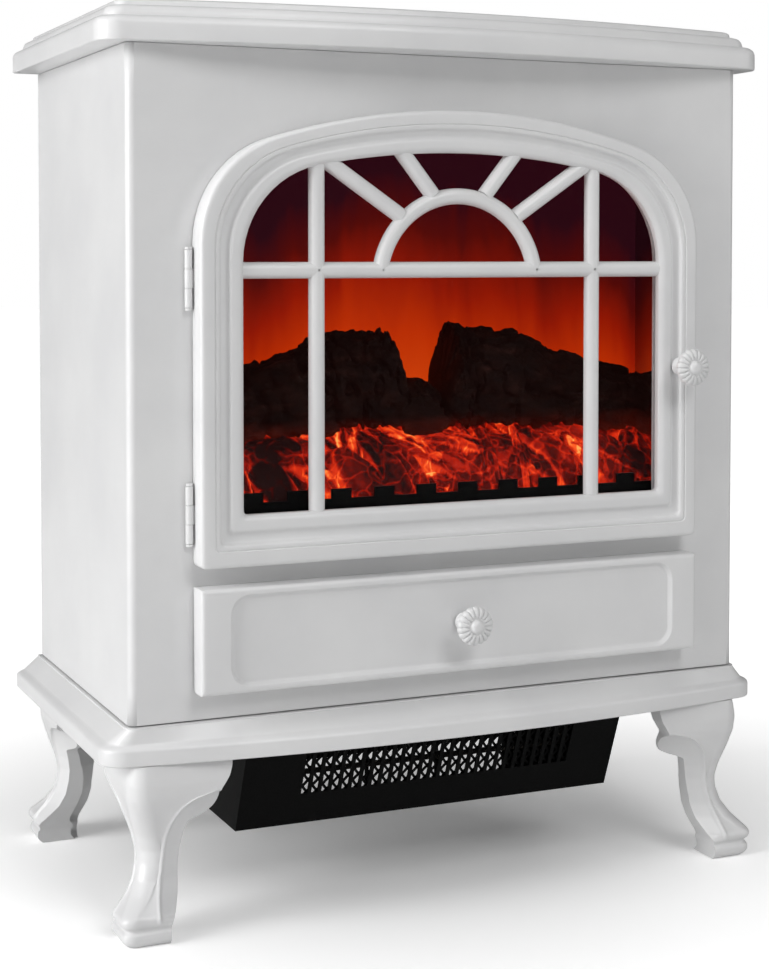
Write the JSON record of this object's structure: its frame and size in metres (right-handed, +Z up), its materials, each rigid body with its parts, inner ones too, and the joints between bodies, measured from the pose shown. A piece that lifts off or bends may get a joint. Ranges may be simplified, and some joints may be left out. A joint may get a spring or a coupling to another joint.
{
  "type": "electric fireplace",
  "caption": "Stove-style electric fire: white casing on cabriole legs, bowed mantel, arched glazed door over glowing logs, drop-down control flap and a fan heater below.",
  "frame": {"origin": "centre of the overall box at the floor", "axes": "+Z up, the front with the door faces -Y, +X to the right seen from the front"},
  "size_m": [0.498, 0.2956, 0.6067],
  "materials": {
    "white_enamel": "smooth semi-gloss white",
    "white_board": "moulded board painted smooth semi-gloss white",
    "white_moulding": "moulded resin painted smooth semi-gloss white",
    "hinge_enamel": "painted in place with the casing",
    "black_enamel": "satin black, heat resistant",
    "galvanised_sheet": "plain galvanised",
    "zinc_screw": "bright zinc",
    "black_plastic": "fine texture",
    "insulating_block": "matt",
    "door_glass": "clear toughened",
    "flame_screen": "translucent diffuser lit from behind",
    "glowing_embers": "translucent moulding lit from below",
    "charred_log": "rough moulded bark",
    "circuit_board": "board with lamps",
    "foil_strips": "polished foil",
    "dark_motor": "dark motor can",
    "brass_bush": "turned",
    "black_mesh": "expanded metal, black",
    "blower_steel": "pressed sheet",
    "mica_board": "mica",
    "heating_wire": "resistance wire"
  },
  "bodies": {
    "stove": {"body_shell": "white_enamel", "lower_hinge_body_leaf": "hinge_enamel", "upper_hinge_body_leaf": "hinge_enamel", "lower_hinge_pin": "hinge_enamel", "upper_hinge_pin": "hinge_enamel", "mantel_top": "white_board", "base_plinth": "white_board", "leg_front_left": "white_moulding", "leg_front_right": "white_moulding", "leg_rear_left": "white_moulding", "leg_rear_right": "white_moulding", "back_panel": "galvanised_sheet", "cord_gland": "black_plastic", "terminal_block": "insulating_block", "flap_bracket_left": "galvanised_sheet", "flap_bracket_right": "galvanised_sheet", "control_panel": "black_enamel", "control_surround": "black_enamel", "flame_switch_body": "black_plastic", "low_heat_switch_body": "black_plastic", "high_heat_switch_body": "black_plastic", "thermostat_body": "galvanised_sheet", "firebox_liner": "black_enamel", "flame_screen": "flame_screen", "ember_bed": "glowing_embers", "log_left": "charred_log", "log_right": "charred_log", "log_centre": "charred_log", "grate_front": "black_enamel", "light_board": "circuit_board", "rotor_motor": "dark_motor", "rotor_bearing": "brass_bush", "heater_housing": "black_enamel", "outlet_mesh": "black_mesh", "blower_motor": "dark_motor", "blower_bearing": "brass_bush", "blower_scroll": "galvanised_sheet", "element_frame": "mica_board", "heating_wire": "heating_wire", "thermal_cutout": "insulating_block"},
    "door": {"door_frame": "white_moulding", "door_lattice": "white_moulding", "door_glass": "door_glass", "door_knob": "white_moulding", "door_knob_screw": "zinc_screw", "door_strike_plate": "zinc_screw", "lower_hinge_door_leaf": "hinge_enamel", "upper_hinge_door_leaf": "hinge_enamel"},
    "flap": {"control_flap": "white_enamel", "flap_knob": "white_moulding", "flap_knob_screw": "zinc_screw", "flap_pin_left": "zinc_screw", "flap_pin_right": "zinc_screw"},
    "flame_rocker": {"flame_switch": "black_plastic"},
    "low_heat_rocker": {"low_heat_switch": "black_plastic"},
    "high_heat_rocker": {"high_heat_switch": "black_plastic"},
    "thermostat_dial": {"thermostat_knob": "black_plastic"},
    "blower_rotor": {"blower_wheel": "blower_steel"},
    "flame_spindle": {"flame_rotor": "foil_strips"}
  },
  "joints": [
    {"name": "door_swing", "type": "hinge", "parent": "stove", "child": "door", "pos_m": [-0.1902, -0.10915, 0.363], "axis": [0, 0, -1], "range_deg": [0, 110]},
    {"name": "flap_drop", "type": "hinge", "parent": "stove", "child": "flap", "pos_m": [0, -0.11105, 0.1626], "axis": [1, 0, 0], "range_deg": [0, 75]},
    {"name": "flame_rocker_press", "type": "hinge", "parent": "stove", "child": "flame_rocker", "pos_m": [-0.105, -0.07925, 0.192], "axis": [-1, 0, 0], "range_deg": [0, 14]},
    {"name": "low_heat_rocker_press", "type": "hinge", "parent": "stove", "child": "low_heat_rocker", "pos_m": [-0.065, -0.07925, 0.192], "axis": [-1, 0, 0], "range_deg": [0, 14]},
    {"name": "high_heat_rocker_press", "type": "hinge", "parent": "stove", "child": "high_heat_rocker", "pos_m": [-0.025, -0.07925, 0.192], "axis": [-1, 0, 0], "range_deg": [0, 14]},
    {"name": "thermostat_turn", "type": "hinge", "parent": "stove", "child": "thermostat_dial", "pos_m": [0.075, -0.09425, 0.192], "axis": [0, -1, 0], "range_deg": [-135, 135]},
    {"name": "blower_spin", "type": "hinge", "parent": "stove", "child": "blower_rotor", "pos_m": [0.007, -0.02425, 0.112], "axis": [1, 0, 0], "continuous": true},
    {"name": "flame_spin", "type": "hinge", "parent": "stove", "child": "flame_spindle", "pos_m": [0, 0.02375, 0.304], "axis": [1, 0, 0], "continuous": true}
  ]
}
